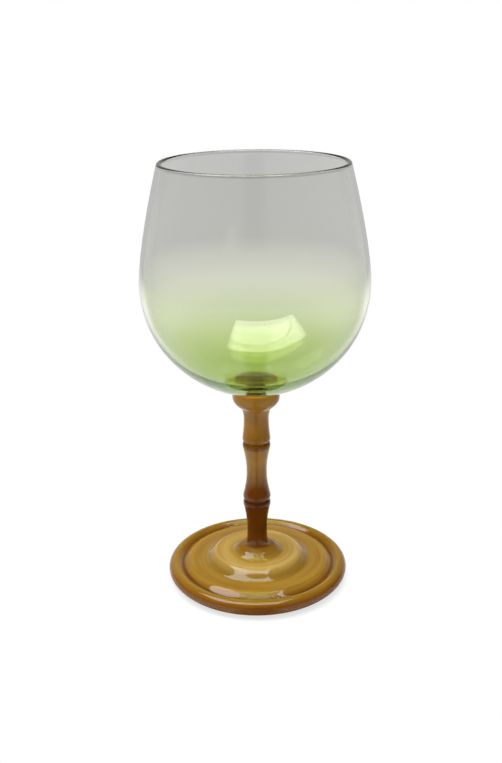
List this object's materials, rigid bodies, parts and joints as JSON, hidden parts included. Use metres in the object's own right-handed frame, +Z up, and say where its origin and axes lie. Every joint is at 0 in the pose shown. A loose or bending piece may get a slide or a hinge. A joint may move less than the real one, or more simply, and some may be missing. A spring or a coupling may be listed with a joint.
{
  "type": "wine glass",
  "caption": "Stemmed wine glass with a rounded bowl that fades from smoke grey to green, and a bamboo-shaped stem and round foot of opaque caramel glass.",
  "frame": {"origin": "on the axis, in the plane that the foot rests on", "axes": "+Z up along the axis of the glass, from the foot to the rim; X and Y are any two level directions, because the glass is round"},
  "size_m": [0.1026, 0.1026, 0.2],
  "materials": {
    "bowl_glass": "clear, smoke grey at the rim fading to green at the base",
    "caramel_glass": "opaque, glossy, with faint streaks round the foot",
    "dark_glass": "opaque, glossy"
  },
  "bodies": {
    "root": {"foot": "caramel_glass", "stem_pad": "caramel_glass", "stem_lower_length": "caramel_glass", "stem_middle_length": "caramel_glass", "stem_upper_length": "caramel_glass", "stem_collar": "caramel_glass", "bowl_post": "dark_glass", "bowl": "bowl_glass"}
  },
  "joints": []
}
